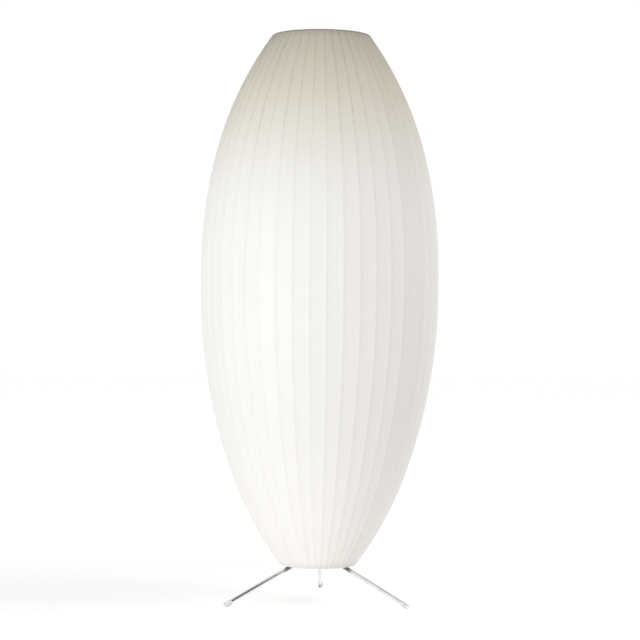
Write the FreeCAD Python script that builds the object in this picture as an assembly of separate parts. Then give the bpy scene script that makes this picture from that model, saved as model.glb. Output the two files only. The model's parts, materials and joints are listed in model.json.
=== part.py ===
import FreeCAD, Part
import math
import os

# Bubble floor lamp: a tall ribbed shade with a sprayed skin, standing on three splayed rods.
# Millimetres and degrees. The origin is on the floor on the shade's axis, +Z is up and -Y is the front.

# Shade outline, measured over the skin
belly_radius = 197.0
belly_height = 532.5
belly_band = 30.0
shade_top = 938.5
shade_bottom = 60.5
top_ring_radius = 78.0
bottom_ring_radius = 58.7

# The bow that ends over each ring, as shares of the one plain bow that would reach there from the belly
shoulder_radius_ratio = 0.82
shoulder_angle_ratio = 1.08
foot_radius_ratio = 0.66
foot_angle_ratio = 1.138

# Shade build-up from the outside inwards
rib_count = 45
rib_bearing = -86.9
skin_thickness = 1.0
skin_to_rib = 0.15
rib_thickness = 1.6
rib_to_ring = 0.1
ring_bar = 4.0
top_hem_angle = 165.0
bottom_hem_angle = 150.0

# Spider plate that carries the bottom ring
spider_thickness = 2.0
spider_disc_radius = 15.0
spider_arm_width = 11.0
spider_root_fillet = 4.0
spider_to_ring = 0.1

# Legs, hub and foot tips
leg_names = ("right", "rear", "left")
leg_bearing = -31.5
leg_diameter = 6.4
leg_to_hem = 0.2
foot_reach = 169.5
hub_face_radius = 20.0
hub_roof = 2.6
hub_chamfer = 1.2
leg_seat_depth = 3.0
leg_spigot_diameter = 5.0
leg_spigot_length = 8.0
leg_spigot_chamfer = 0.6
leg_fit = 0.05
tip_wall = 1.3
tip_grip = 11.0
tip_nose = 2.0
tip_rim_chamfer = 0.6
tip_flat = 0.6

# Threaded pipe through the hub, with what is screwed onto it
pipe_diameter = 10.0
pipe_bore = 7.4
pipe_tail = 2.0
pipe_head = 2.0
thread_fit = 0.05
hole_clearance = 0.15
washer_thickness = 1.5
washer_diameter = 20.0
lock_washer_thickness = 0.8
lock_washer_diameter = 17.0
lock_washer_teeth = 12
lock_washer_tooth = 1.6
nut_height = 5.0
nut_across_flats = 16.0
cover_diameter = 14.0
cover_wall = 0.8
cover_length = 143.0

# Cord inlet
inlet_bore = 6.0
bushing_flange = 1.2
bushing_length = 8.0

# Socket for a 26 mm screw bulb
socket_neck_diameter = 16.4
socket_neck_height = 6.0
socket_dome_height = 9.0
socket_rim_height = 8.0
socket_cap_wall = 1.1
socket_floor_height = 13.5
shell_wall = 0.6
shell_length = 45.2
shell_lip = 0.9
sleeve_wall = 0.7
sleeve_length = 44.0
layer_gap = 0.1
core_height = 16.5
core_gap = 0.3
core_recess_depth = 4.0
core_recess_margin = 1.5
spring_well_depth = 6.0
spring_well_radius = 11.0
screw_shell_wall = 0.5
screw_shell_length = 26.0
screw_shell_flange = 2.4
terminal_notch_depth = 3.6
terminal_notch_height = 8.0
terminal_notch_width = 9.0
terminal_head_diameter = 6.4
terminal_head_height = 2.0
terminal_shank_diameter = 3.2
terminal_shank_length = 5.0
terminal_slot_width = 0.8
terminal_slot_depth = 0.7
set_screw_diameter = 3.0
set_screw_length = 4.6
set_screw_slot_depth = 0.8

# Sprung contact under the bulb
contact_stem_diameter = 4.0
contact_stem_length = 11.0
contact_head_diameter = 8.0
contact_head_height = 1.5
contact_fit = 0.08
spring_thickness = 0.4
spring_width = 7.0
spring_half_span = 9.5
spring_rise = 5.0
spring_hole_margin = 0.3
touch_gap = 0.1

# Bulb
bulb_cap_diameter = 26.2
bulb_cap_wall = 0.5
bulb_cap_length = 23.0
bulb_cap_shoulder = 2.0
bulb_tip_diameter = 9.0
bulb_tip_height = 1.5
bulb_insulator_height = 4.0
bulb_insulator_width = 22.0
bulb_collar_diameter = 30.0
bulb_collar_height = 3.0
bulb_neck_length = 7.0
bulb_body_diameter = 54.0
bulb_body_height = 30.0
bulb_flare_at_middle = 0.42
bulb_globe_radius = 30.0


def vector(radius, height, bearing=0.0):
    """A point from its distance to the lamp's axis, its height and its bearing."""
    turn = math.radians(bearing)
    return FreeCAD.Vector(radius * math.cos(turn), radius * math.sin(turn), height)


AXIS = FreeCAD.Vector(0, 0, 1)
ORIGIN = FreeCAD.Vector(0, 0, 0)
HALF_RIGHT_ANGLE = math.pi / 4


def turned(points):
    """A solid turned about the lamp's axis from an outline of (radius, height) points.

    A pair of points in place of one point is an arc: the point it passes through and its end.
    """
    edges = []
    here = points[0]
    for step in points[1:] + points[:1]:
        if isinstance(step[0], tuple):
            middle, there = step
            edges.append(Part.Arc(vector(*here), vector(*middle), vector(*there)).toShape())
        else:
            there = step
            edges.append(Part.makeLine(vector(*here), vector(*there)))
        here = there
    return Part.Face(Part.Wire(edges)).revolve(ORIGIN, AXIS, 360)


def tube(outer_radius, inner_radius, bottom, top):
    return turned([(inner_radius, bottom), (outer_radius, bottom), (outer_radius, top), (inner_radius, top)])


def cylinder(radius, start, direction, length):
    return Part.makeCylinder(radius, length, start, direction)


def swung(shape, bearing):
    """A copy of a shape, turned about the lamp's axis to a bearing."""
    copy = shape.copy()
    copy.rotate(ORIGIN, AXIS, bearing)
    return copy


def hexagon_nut(bottom, height, across_flats, bore_radius):
    corner = across_flats / 2 / math.cos(math.pi / 6)
    corners = [vector(corner, bottom, 60 * k) for k in range(6)]
    block = Part.Face(Part.makePolygon(corners + corners[:1])).extrude(AXIS * height)
    return block.cut(cylinder(bore_radius, vector(0, bottom), AXIS, height))


# Meridian of the shade

hem_radius = skin_thickness + skin_to_rib + rib_thickness + rib_to_ring + ring_bar / 2
top_ring_height = shade_top - hem_radius
bottom_ring_height = shade_bottom + hem_radius
rib_outside = skin_thickness + skin_to_rib
rib_inside = rib_outside + rib_thickness


class Bow:
    """An arc of the meridian: its centre, its radius over the skin, and its two end angles above level."""

    def __init__(self, centre, radius, start, end):
        self.centre = centre
        self.radius = radius
        self.start = start
        self.end = end

    def point(self, angle, depth):
        reach = self.radius - depth
        turn = math.radians(angle)
        return vector(self.centre[0] + reach * math.cos(turn), self.centre[1] + reach * math.sin(turn))

    def edge(self, depth):
        """The arc at a depth below the skin's outside."""
        middle = (self.start + self.end) / 2
        ends = [self.point(angle, depth) for angle in (self.start, middle, self.end)]
        return Part.Arc(*ends).toShape()


def leaving_upright(across, along, end_radius):
    """Radius of the bow that leaves the belly upright and touches a circle of end_radius from outside it.

    across and along are the way from the belly's edge to the circle's centre.
    """
    return (across**2 + along**2 - end_radius**2) / (2 * (across - end_radius))


def two_bows(ring_radius, ring_height, radius_ratio, angle_ratio, band_edge, way):
    """The long bow that leaves the belly's band upright, and the end bow that takes it to a ring.

    way is 1 above the belly and -1 below it. One plain bow from the band to the ring's hem sets the scale:
    the end bow has a share of its radius and of its end angle, and the long bow joins it with no corner.
    """
    inwards = belly_radius - ring_radius
    rise = way * (ring_height - band_edge)
    plain_radius = leaving_upright(inwards, rise, hem_radius)
    end_turn = angle_ratio * math.atan2(rise, plain_radius - inwards)
    end_radius = radius_ratio * plain_radius
    reach = end_radius - hem_radius
    end_centre = (ring_radius - reach * math.cos(end_turn), ring_height - way * reach * math.sin(end_turn))
    along = way * (end_centre[1] - band_edge)
    long_radius = leaving_upright(belly_radius - end_centre[0], along, end_radius)
    meet = way * math.degrees(math.asin(along / (long_radius - end_radius)))
    long_bow = Bow((belly_radius - long_radius, band_edge), long_radius, 0.0, meet)
    return long_bow, Bow(end_centre, end_radius, meet, way * math.degrees(end_turn))


band_top = belly_height + belly_band / 2
band_bottom = belly_height - belly_band / 2
upper_bow, shoulder_bow = two_bows(
    top_ring_radius, top_ring_height, shoulder_radius_ratio, shoulder_angle_ratio, band_top, 1)
lower_bow, foot_bow = two_bows(
    bottom_ring_radius, bottom_ring_height, foot_radius_ratio, foot_angle_ratio, band_bottom, -1)
top_hem = Bow((top_ring_radius, top_ring_height), hem_radius, shoulder_bow.end, top_hem_angle)
bottom_hem = Bow((bottom_ring_radius, bottom_ring_height), hem_radius, foot_bow.end, -bottom_hem_angle)


def meridian(depth, hemmed):
    """Edges of the shade's outline at a depth below its outside, with or without the two hems."""
    above = [upper_bow, shoulder_bow] + [top_hem] * hemmed
    below = [lower_bow, foot_bow] + [bottom_hem] * hemmed
    band = Part.makeLine(vector(belly_radius - depth, band_bottom), vector(belly_radius - depth, band_top))
    return [bow.edge(depth) for bow in reversed(below)] + [band] + [bow.edge(depth) for bow in above]


def section(outside, inside, hemmed):
    """Edges of the closed outline between two depths, and across its two ends."""
    outer = meridian(outside, hemmed)
    inner = meridian(inside, hemmed)
    top, bottom = (top_hem, bottom_hem) if hemmed else (shoulder_bow, foot_bow)
    caps = [Part.makeLine(bow.point(bow.end, outside), bow.point(bow.end, inside)) for bow in (top, bottom)]
    return outer + inner + caps


def shade_skin():
    """One skin in flat panels: each panel is ruled straight across from one rib line to the next."""
    step = 360.0 / rib_count
    edges = section(0.0, skin_thickness, True)
    panel = [Part.makeRuledSurface(edge, swung(edge, step)) for edge in edges]
    faces = [swung(face, rib_bearing + k * step) for k in range(rib_count) for face in panel]
    shell = Part.Compound(faces)
    shell.sewShape()
    solid = Part.Solid(shell.Shells[0])
    if solid.Volume < 0:
        solid.reverse()
    return solid


def shade_ribs():
    """Bent wires, one behind each rib line of the skin."""
    outline = Part.Wire(Part.sortEdges(section(rib_outside, rib_inside, False))[0])
    wire = Part.Face(outline).extrude(FreeCAD.Vector(0, rib_thickness, 0))
    wire.translate(FreeCAD.Vector(0, -rib_thickness / 2, 0))
    return Part.Compound([swung(wire, rib_bearing + k * 360.0 / rib_count) for k in range(rib_count)])


def ring(bow, grow=0.0):
    """A hoop of square bar that lies flat behind the ends of the ribs, at the end of a bow."""
    turn = math.radians(bow.end)
    half = ring_bar / 2 + grow
    middle = bow.point(bow.end, hem_radius)
    out = vector(math.cos(turn), math.sin(turn)) * half
    up = vector(-math.sin(turn), math.cos(turn)) * half
    corners = [middle + out + up, middle - out + up, middle - out - up, middle + out - up]
    return Part.Face(Part.makePolygon(corners + corners[:1])).revolve(ORIGIN, AXIS, 360)


# Legs, from the floor to the hub

between_legs = 360.0 / len(leg_names)
leg_bearings = {name: leg_bearing + k * between_legs for k, name in enumerate(leg_names)}
leg_radius = leg_diameter / 2
tip_radius = leg_radius + leg_fit + tip_wall
foot_height = tip_radius - tip_flat
ring_out = foot_reach - bottom_ring_radius
ring_up = bottom_ring_height - foot_height
leg_slope = math.atan2(ring_up, ring_out) - math.asin(
    (hem_radius + leg_to_hem + leg_radius) / math.hypot(ring_up, ring_out))


def on_leg(radius):
    """Height of a leg's centre line at a distance from the lamp's axis."""
    return foot_height + (foot_reach - radius) * math.tan(leg_slope)


def along_leg(radius, distance):
    """The (radius, height) reached by going a distance up the leg from a radius."""
    return radius - distance * math.cos(leg_slope), on_leg(radius) + distance * math.sin(leg_slope)


leg_seat = along_leg(hub_face_radius, leg_seat_depth)
leg_end = along_leg(hub_face_radius, leg_seat_depth + leg_spigot_length)
leg_up = vector(-math.cos(leg_slope), math.sin(leg_slope))
leg_length = (foot_reach - leg_seat[0]) / math.cos(leg_slope)


def leg():
    """A bright rod with a stepped, screwed upper end, in the plane of bearing 0."""
    rod = cylinder(leg_radius, vector(foot_reach, foot_height), leg_up, leg_length)
    plain = leg_spigot_length - leg_spigot_chamfer
    spigot = cylinder(leg_spigot_diameter / 2, vector(*leg_seat), leg_up, plain)
    spigot_end = leg_spigot_diameter / 2 - leg_spigot_chamfer
    point = Part.makeCone(leg_spigot_diameter / 2, spigot_end, leg_spigot_chamfer,
                          vector(*leg_seat) + leg_up * plain, leg_up)
    return rod.fuse([spigot, point]).removeSplitter()


def foot_tip():
    """A plastic ferrule on the rod's lower end, flat where it stands on the floor."""
    shoulder = tip_radius * math.tan(leg_slope / 2)
    bore = leg_radius + leg_fit
    ferrule = turned([
        (0.0, 0.0), (bore, 0.0), (bore, tip_grip), (tip_radius - tip_rim_chamfer, tip_grip),
        (tip_radius, tip_grip - tip_rim_chamfer), (tip_radius, -shoulder),
        (tip_radius - tip_nose, -shoulder - tip_nose), (0.0, -shoulder - tip_nose)])
    ferrule.rotate(ORIGIN, FreeCAD.Vector(0, 1, 0), math.degrees(leg_slope) - 90.0)
    ferrule.translate(vector(foot_reach, foot_height))
    floor_side = 4 * tip_radius
    floor = Part.makeBox(floor_side, floor_side, floor_side,
                         FreeCAD.Vector(foot_reach - floor_side / 2, -floor_side / 2, -floor_side))
    return ferrule.cut(floor)


# Spider plate and hub, stacked on the pipe

spider_bottom = bottom_ring_height - spider_thickness / 2
hub_bottom = spider_bottom + spider_thickness
hub_top = leg_end[1] + leg_spigot_diameter / 2 / math.cos(leg_slope) + hub_roof
pipe_radius = pipe_diameter / 2
pipe_hole = pipe_radius + hole_clearance


def shade_spider():
    """A flat plate with three arms between the legs, notched onto the bottom ring and welded there."""
    plate = cylinder(spider_disc_radius, vector(0, spider_bottom), AXIS, spider_thickness)
    blank = Part.makeBox(bottom_ring_radius, spider_arm_width, spider_thickness,
                         FreeCAD.Vector(0, -spider_arm_width / 2, spider_bottom))
    arms = [swung(blank, bearing + between_legs / 2) for bearing in leg_bearings.values()]
    plate = plate.fuse(arms).removeSplitter()
    middle = hub_bottom - spider_thickness / 2
    roots = [edge for edge in plate.Edges
             if abs(edge.CenterOfMass.z - middle) < spider_thickness / 4
             and math.hypot(edge.CenterOfMass.x, edge.CenterOfMass.y) < spider_disc_radius + spider_root_fillet]
    plate = plate.makeFillet(spider_root_fillet, roots)
    plate = plate.cut(cylinder(pipe_hole, vector(0, spider_bottom), AXIS, spider_thickness))
    return plate.cut(ring(foot_bow, spider_to_ring))


def leg_hub():
    """An inverted cone whose side stands square to the legs, bored for the pipe and the three legs."""
    lean = math.tan(leg_slope)
    bottom_radius = hub_face_radius - (on_leg(hub_face_radius) - hub_bottom) * lean
    top_radius = hub_face_radius + (hub_top - on_leg(hub_face_radius)) * lean
    hub = turned([
        (pipe_hole, hub_bottom), (bottom_radius - hub_chamfer, hub_bottom),
        (bottom_radius + hub_chamfer * lean, hub_bottom + hub_chamfer),
        (top_radius - hub_chamfer * lean, hub_top - hub_chamfer),
        (top_radius - hub_chamfer, hub_top), (pipe_hole, hub_top)])
    seat = cylinder(leg_radius + leg_fit, vector(*leg_seat), leg_up * -1, 3 * leg_seat_depth)
    hole = cylinder(leg_spigot_diameter / 2 + thread_fit, vector(*leg_seat), leg_up,
                    leg_spigot_length + hole_clearance)
    cutter = seat.fuse(hole)
    return hub.cut([swung(cutter, bearing) for bearing in leg_bearings.values()])


washer_bottom = spider_bottom - washer_thickness
nut_bottom = washer_bottom - nut_height
pipe_bottom = nut_bottom - pipe_tail
lock_washer_top = hub_top + lock_washer_thickness
cover_bottom = lock_washer_top + nut_height
socket_bottom = cover_bottom + cover_length
socket_floor = socket_bottom + socket_floor_height
pipe_top = socket_floor + pipe_head
thread_hole = pipe_radius + thread_fit


def top_lock_washer():
    """A thin washer with a crown of teeth that bite into the hub and the nut."""
    root = lock_washer_diameter / 2 - lock_washer_tooth
    half = 180.0 / lock_washer_teeth
    crown = []
    for k in range(lock_washer_teeth):
        crown.append(vector(lock_washer_diameter / 2, hub_top, 2 * k * half))
        crown.append(vector(root, hub_top, (2 * k + 1) * half))
    star = Part.Face(Part.makePolygon(crown + crown[:1])).extrude(AXIS * lock_washer_thickness)
    return star.cut(cylinder(pipe_hole, vector(0, hub_top), AXIS, lock_washer_thickness))


def cord_bushing():
    """An insulating collar that lines the pipe's lower end, where the supply comes in."""
    sleeve = pipe_bore / 2 - thread_fit
    low = pipe_bottom - bushing_flange
    return turned([
        (inlet_bore / 2, low), (pipe_radius, low), (pipe_radius, pipe_bottom), (sleeve, pipe_bottom),
        (sleeve, pipe_bottom + bushing_length), (inlet_bore / 2, pipe_bottom + bushing_length)])


# Socket, layer by layer from the bulb's thread outwards

screw_shell_inside = bulb_cap_diameter / 2 + core_gap
screw_shell_outside = screw_shell_inside + screw_shell_wall
core_radius = screw_shell_outside + layer_gap
sleeve_inside = core_radius + core_gap
shell_inside = sleeve_inside + sleeve_wall + layer_gap
shell_outside = shell_inside + shell_wall
cap_inside = shell_outside + layer_gap
cap_outside = cap_inside + socket_cap_wall
cap_rim_bottom = socket_bottom + socket_neck_height + socket_dome_height
cap_top = cap_rim_bottom + socket_rim_height
core_top = socket_floor + core_height
well_floor = core_top - spring_well_depth
recess_roof = socket_floor + core_recess_depth
terminal_face = core_radius - terminal_notch_depth
terminal_height = (recess_roof + well_floor) / 2
set_screw_height = socket_bottom + socket_neck_height / 2


def socket_cap():
    """The socket's lower cup, screwed onto the pipe by its neck."""
    neck = socket_neck_diameter / 2
    dome_bottom = socket_bottom + socket_neck_height
    bulge = math.sin(HALF_RIGHT_ANGLE)
    dome_middle = (neck + (cap_outside - neck) * bulge, cap_rim_bottom - socket_dome_height * bulge)
    cup = turned([
        (thread_hole, socket_bottom), (neck, socket_bottom), (neck, dome_bottom),
        (dome_middle, (cap_outside, cap_rim_bottom)),
        (cap_outside, cap_top), (cap_inside, cap_top), (cap_inside, socket_floor), (thread_hole, socket_floor)])
    hole = cylinder(set_screw_diameter / 2 + thread_fit, vector(0, set_screw_height), vector(1, 0), neck * 2)
    return cup.cut(hole)


def cap_set_screw():
    """A slotted grub screw through the cap's neck that stops the socket from turning on the pipe."""
    start = pipe_radius + thread_fit
    screw = cylinder(set_screw_diameter / 2, vector(start, set_screw_height), vector(1, 0), set_screw_length)
    slot = Part.makeBox(
        set_screw_slot_depth, terminal_slot_width, set_screw_diameter,
        FreeCAD.Vector(start + set_screw_length - set_screw_slot_depth, -terminal_slot_width / 2,
                       set_screw_height - set_screw_diameter / 2))
    return screw.cut(slot)


def socket_shell():
    """The outer metal shell, with its top edge turned outwards."""
    top = socket_floor + shell_length
    return turned([
        (shell_inside, socket_floor), (shell_outside, socket_floor), (shell_outside, top - 2 * shell_lip),
        (shell_outside + shell_lip, top - shell_lip), (shell_outside + shell_lip, top), (shell_inside, top)])


def terminal_screws():
    """Two slotted binding screws, one on each side of the core."""
    head = cylinder(terminal_head_diameter / 2, vector(terminal_face, terminal_height), vector(1, 0),
                    terminal_head_height)
    shank = cylinder(terminal_shank_diameter / 2, vector(terminal_face - terminal_shank_length, terminal_height),
                     vector(1, 0), terminal_shank_length)
    slot = Part.makeBox(
        terminal_slot_depth, terminal_head_diameter, terminal_slot_width,
        FreeCAD.Vector(terminal_face + terminal_head_height - terminal_slot_depth,
                       -terminal_head_diameter / 2, terminal_height - terminal_slot_width / 2))
    screw = head.fuse(shank).cut(slot)
    return Part.Compound([screw, swung(screw, 180)])


def socket_core():
    """The ceramic body: a well for the sprung contact on top, and a notch for each terminal screw."""
    guide = contact_stem_diameter / 2 + contact_fit
    recess = pipe_radius + core_recess_margin
    core = turned([
        (recess, socket_floor), (core_radius, socket_floor), (core_radius, core_top),
        (spring_well_radius, core_top), (spring_well_radius, well_floor), (guide, well_floor),
        (guide, recess_roof), (recess, recess_roof)])
    notch = Part.makeBox(
        terminal_notch_depth * 2, terminal_notch_width, terminal_notch_height,
        FreeCAD.Vector(terminal_face, -terminal_notch_width / 2, terminal_height - terminal_notch_height / 2))
    hole = cylinder(terminal_shank_diameter / 2 + thread_fit,
                    vector(terminal_face - terminal_shank_length, terminal_height), vector(1, 0),
                    terminal_shank_length)
    cutter = notch.fuse(hole)
    return core.cut([cutter, swung(cutter, 180)])


def screw_shell():
    """The brass cup that takes the bulb's thread, on a flange that rests on the core."""
    floor = core_top + screw_shell_wall
    top = core_top + screw_shell_length
    flange = screw_shell_inside - screw_shell_flange
    return turned([
        (flange, core_top), (screw_shell_outside, core_top), (screw_shell_outside, top),
        (screw_shell_inside, top), (screw_shell_inside, floor), (flange, floor)])


contact_seat = well_floor + spring_rise
contact_top = contact_seat + contact_head_height


def centre_contact():
    """The brass button that presses on the bulb, on a stem guided in the core."""
    head = cylinder(contact_head_diameter / 2, vector(0, contact_seat), AXIS, contact_head_height)
    stem = cylinder(contact_stem_diameter / 2, vector(0, contact_seat - contact_stem_length), AXIS,
                    contact_stem_length)
    return head.fuse(stem).removeSplitter()


def contact_spring():
    """An arched leaf under the button, with a hole for its stem."""

    def arch(half_span, crown):
        low = FreeCAD.Vector(-half_span, 0, well_floor)
        high = FreeCAD.Vector(half_span, 0, well_floor)
        return Part.Arc(low, FreeCAD.Vector(0, 0, crown), high).toShape()

    outside = arch(spring_half_span, contact_seat)
    inside = arch(spring_half_span - spring_thickness, contact_seat - spring_thickness)
    feet = [Part.makeLine(outside.Vertexes[k].Point, inside.Vertexes[k].Point) for k in (0, 1)]
    outline = Part.Wire(Part.sortEdges([outside, inside] + feet)[0])
    leaf = Part.Face(outline).extrude(FreeCAD.Vector(0, spring_width, 0))
    leaf.translate(FreeCAD.Vector(0, -spring_width / 2, 0))
    hole = contact_stem_diameter / 2 + spring_hole_margin
    return leaf.cut(cylinder(hole, vector(0, well_floor), AXIS, 2 * spring_rise))


# Bulb, screwed home on the sprung contact

bulb_bottom = contact_top + touch_gap
insulator_bottom = bulb_bottom + bulb_tip_height
bulb_cap_bottom = insulator_bottom + bulb_insulator_height
bulb_cap_top = bulb_cap_bottom + bulb_cap_length
bulb_cap_radius = bulb_cap_diameter / 2
bulb_cap_hollow = bulb_cap_radius - bulb_cap_wall
collar_top = bulb_cap_top + bulb_collar_height
body_top = collar_top + bulb_body_height


def bulb_contact():
    return turned([
        (0.0, bulb_bottom), (bulb_tip_diameter / 2 - bulb_tip_height / 2, bulb_bottom),
        (bulb_tip_diameter / 2, insulator_bottom), (0.0, insulator_bottom)])


def bulb_insulator():
    """The dark glass cone between the bulb's tip and its threaded cap."""
    return turned([
        (0.0, insulator_bottom), (bulb_tip_diameter / 2, insulator_bottom),
        (bulb_insulator_width / 2, bulb_cap_bottom), (0.0, bulb_cap_bottom)])


def bulb_screw_cap():
    """The threaded metal cap, a thin cup that is open at the top."""
    return turned([
        (0.0, bulb_cap_bottom), (bulb_insulator_width / 2, bulb_cap_bottom),
        (bulb_cap_radius, bulb_cap_bottom + bulb_cap_shoulder), (bulb_cap_radius, bulb_cap_top),
        (bulb_cap_hollow, bulb_cap_top), (bulb_cap_hollow, bulb_cap_bottom + bulb_cap_shoulder),
        (0.0, bulb_cap_bottom + bulb_cap_shoulder)])


def bulb_body():
    """The bulb's flared body, with a neck that is pressed into the cap."""
    neck = bulb_cap_hollow - layer_gap
    collar = bulb_collar_diameter / 2
    rim = bulb_body_diameter / 2
    flare_middle = (collar + (rim - collar) * bulb_flare_at_middle, collar_top + bulb_body_height / 2)
    return turned([
        (0.0, bulb_cap_top - bulb_neck_length), (neck, bulb_cap_top - bulb_neck_length), (neck, bulb_cap_top),
        (collar, bulb_cap_top), (collar, collar_top), (flare_middle, (rim, body_top)), (0.0, body_top)])


def bulb_globe():
    """The frosted dome that closes the body."""
    rim = bulb_body_diameter / 2
    drop = math.sqrt(bulb_globe_radius**2 - rim**2)
    middle = body_top + drop
    side = (bulb_globe_radius * math.cos(HALF_RIGHT_ANGLE),
            middle + bulb_globe_radius * math.sin(HALF_RIGHT_ANGLE))
    return turned([(0.0, body_top), (rim, body_top), (side, (0.0, middle + bulb_globe_radius))])


NODES = {
    "shade_skin": shade_skin(),
    "shade_ribs": shade_ribs(),
    "top_ring": ring(shoulder_bow),
    "bottom_ring": ring(foot_bow),
    "shade_spider": shade_spider(),
    "leg_hub": leg_hub(),
    "threaded_pipe": tube(pipe_radius, pipe_bore / 2, pipe_bottom, pipe_top),
    "lower_washer": tube(washer_diameter / 2, pipe_hole, washer_bottom, spider_bottom),
    "lower_lock_nut": hexagon_nut(nut_bottom, nut_height, nut_across_flats, thread_hole),
    "top_lock_washer": top_lock_washer(),
    "top_lock_nut": hexagon_nut(lock_washer_top, nut_height, nut_across_flats, thread_hole),
    "stem_cover": tube(cover_diameter / 2, cover_diameter / 2 - cover_wall, cover_bottom, socket_bottom),
    "cord_bushing": cord_bushing(),
    "socket_cap": socket_cap(),
    "cap_set_screw": cap_set_screw(),
    "socket_shell": socket_shell(),
    "socket_sleeve": tube(sleeve_inside + sleeve_wall, sleeve_inside, socket_floor, socket_floor + sleeve_length),
    "socket_core": socket_core(),
    "screw_shell": screw_shell(),
    "terminal_screws": terminal_screws(),
    "centre_contact": centre_contact(),
    "contact_spring": contact_spring(),
    "bulb_contact": bulb_contact(),
    "bulb_insulator": bulb_insulator(),
    "bulb_screw_cap": bulb_screw_cap(),
    "bulb_body": bulb_body(),
    "bulb_globe": bulb_globe(),
}
for side, bearing in leg_bearings.items():
    NODES["leg_" + side] = swung(leg(), bearing)
    NODES["foot_tip_" + side] = swung(foot_tip(), bearing)

os.makedirs("parts", exist_ok=True)
for name, shape in NODES.items():
    shape.exportStep("parts/" + name + ".step")
    print(name, shape.isValid(), len(shape.Solids), round(shape.Volume, 1))
print("legs slope", round(math.degrees(leg_slope), 2), "bulb from", round(bulb_bottom, 2), "to",
      round(NODES["bulb_globe"].BoundBox.ZMax, 2))
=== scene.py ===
# %% [markdown]
# # A bubble floor lamp
# The lamp is a tall oval cage of bent wires with a skin of sprayed plastic drawn taut over it, standing
# on three bright rods. The CAD model is loaded first, as a fixed frame in metres. What is modelled here
# is the part that CAD solids show poorly: the skin's ridges and hollows, round wires and hoops, soft foot
# cups, a leaf spring, the bulb's thread, and the finish of each piece.

# %% Load the frame
import json
import math

import bpy
import numpy as np
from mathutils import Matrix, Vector


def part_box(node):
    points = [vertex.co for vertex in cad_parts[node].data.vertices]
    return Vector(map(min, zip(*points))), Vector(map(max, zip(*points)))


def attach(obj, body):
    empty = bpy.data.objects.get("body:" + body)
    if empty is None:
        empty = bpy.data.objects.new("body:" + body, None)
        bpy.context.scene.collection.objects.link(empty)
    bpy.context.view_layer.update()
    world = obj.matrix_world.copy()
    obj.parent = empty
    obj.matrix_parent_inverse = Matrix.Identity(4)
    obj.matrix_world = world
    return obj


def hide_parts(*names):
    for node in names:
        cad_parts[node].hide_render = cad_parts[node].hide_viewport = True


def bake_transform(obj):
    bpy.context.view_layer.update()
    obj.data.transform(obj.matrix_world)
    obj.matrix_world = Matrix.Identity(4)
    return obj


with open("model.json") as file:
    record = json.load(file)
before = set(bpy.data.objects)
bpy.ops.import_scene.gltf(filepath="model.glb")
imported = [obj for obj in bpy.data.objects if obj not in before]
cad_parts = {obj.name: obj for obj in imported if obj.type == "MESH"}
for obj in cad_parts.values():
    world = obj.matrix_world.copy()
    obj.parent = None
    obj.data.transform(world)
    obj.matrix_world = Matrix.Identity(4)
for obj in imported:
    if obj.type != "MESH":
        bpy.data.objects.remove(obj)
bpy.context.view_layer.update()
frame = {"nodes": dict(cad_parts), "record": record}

MM = 0.001

# %% [markdown]
# ## The shade's outline
# The CAD skin has a row of points down each rib, which are true to the curve. The outline could be drawn
# anew by hand, but reading it keeps the new skin in the place of the old one. It bulges outwards all the
# way, so its outside is the convex hull of one such row. Each end of the skin is rolled round a hoop, and
# that roll is an arc about the middle of the hoop's bar.

# %% Read one rib line and the two hoops
def bearing_of(point):
    """The angle at which a point lies round the lamp's axis."""
    return math.atan2(point.y, point.x)


def rib_row(node):
    """The bearing where a node is widest, and the (radius, height) of its points there."""
    points = [v.co for v in frame["nodes"][node].data.vertices]
    bearing = bearing_of(max(points, key=lambda p: p.xy.length))
    same_bearing = 1e-4
    row = {(round(p.xy.length, 7), round(p.z, 7)) for p in points
           if abs(bearing_of(p) - bearing) < same_bearing}
    return bearing, sorted(row, key=lambda p: p[1])


def outermost(points):
    """The chain of points, from low to high, that all the others lie inside of."""
    chain = []
    for radius, height in points:
        while len(chain) > 1:
            (r0, z0), (r1, z1) = chain[-2:]
            if (r1 - r0) * (height - z0) > (radius - r0) * (z1 - z0):
                break
            chain.pop()
        chain.append((radius, height))
    return chain


def hoop_of(node):
    """The radius and height of the middle of a hoop's bar."""
    low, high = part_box(node)
    half = (high.z - low.z) / 2
    return high.x - half, low.z + half


rib_bearing, row = rib_row("shade_skin")
skin_line = outermost(row)
top_hoop = hoop_of("top_ring")
bottom_hoop = hoop_of("bottom_ring")
hem_radius = skin_line[-1][1] - top_hoop[1]
belly_radius = max(radius for radius, height in skin_line)
print("rib line:", len(skin_line), "points")
print("belly radius", round(belly_radius, 4), "hem radius", round(hem_radius, 5))

# %% [markdown]
# ## The skin
# The real skin is a liquid plastic sprayed onto the turning cage. It dries, shrinks and pulls flat from
# rib to rib, a little hollow in the middle, with a narrow crest over each wire. A cloth simulation could
# shrink a sheet over the wires, but it is slow and hard to steer. Spinning the outline in as many steps
# as there are ribs gives the flat panels at once. They are then cut into strips, the rib edges are
# bevelled to a crest, and the strips between them are drawn in towards the axis.

# %% Spin the outline into flat panels
def select_only(piece):
    bpy.ops.object.select_all(action="DESELECT")
    piece.select_set(True)
    bpy.context.view_layer.objects.active = piece


def edit_all(piece):
    """Opens a piece in edit mode with all of its mesh selected."""
    select_only(piece)
    bpy.ops.object.mode_set(mode="EDIT")
    bpy.ops.mesh.select_all(action="SELECT")


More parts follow.
